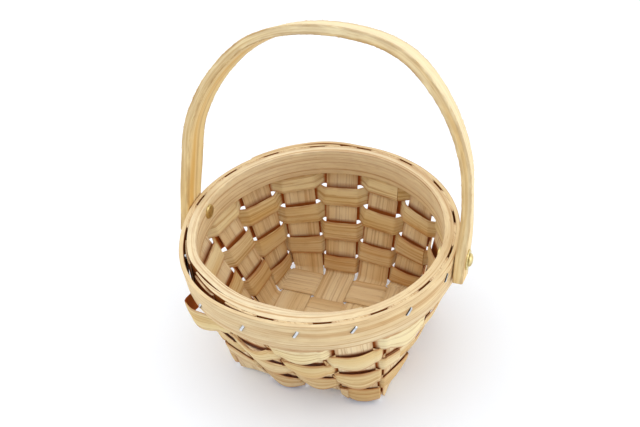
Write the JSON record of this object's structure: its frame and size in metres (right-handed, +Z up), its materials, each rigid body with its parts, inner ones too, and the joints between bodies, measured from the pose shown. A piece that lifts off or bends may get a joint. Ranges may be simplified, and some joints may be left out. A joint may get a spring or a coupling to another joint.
{
  "type": "woven wood chip basket",
  "caption": "Small basket woven from wood chip strips, square at the base and round at the rim, with stapled rim hoops and a bent wood handle that swings on rivets.",
  "frame": {"origin": "point below the centre of the rim, on the surface the basket stands on", "axes": "+Z up, +X along the handle's pivot line to the right, +Y to the back, where the handle leans at rest"},
  "size_m": [0.1448, 0.1307, 0.1614],
  "materials": {
    "splint_wood": "bare sliced chip",
    "weaver_wood": "bare sliced chip",
    "hoop_wood": "bare planed",
    "handle_wood": "bare sawn",
    "staple_wire": "bright wire",
    "rivet_metal": "pale plated"
  },
  "bodies": {
    "basket": {"splint_x1": "splint_wood", "splint_x2": "splint_wood", "splint_x3": "splint_wood", "splint_x4": "splint_wood", "splint_y1": "splint_wood", "splint_y2": "splint_wood", "splint_y3": "splint_wood", "splint_y4": "splint_wood", "weaver_1": "weaver_wood", "weaver_2": "weaver_wood", "weaver_3": "weaver_wood", "weaver_4": "weaver_wood", "weaver_5": "weaver_wood", "weaver_6": "weaver_wood", "inner_hoop": "hoop_wood", "outer_hoop": "hoop_wood", "rim_staples": "staple_wire", "rivet_left": "rivet_metal", "rivet_right": "rivet_metal"},
    "handle": {"handle": "handle_wood", "washer_left": "rivet_metal", "washer_right": "rivet_metal"}
  },
  "joints": [
    {"name": "handle_swing", "type": "hinge", "parent": "basket", "child": "handle", "pos_m": [0, 0, 0.0668], "axis": [1, 0, 0], "range_deg": [-108, 148]}
  ]
}
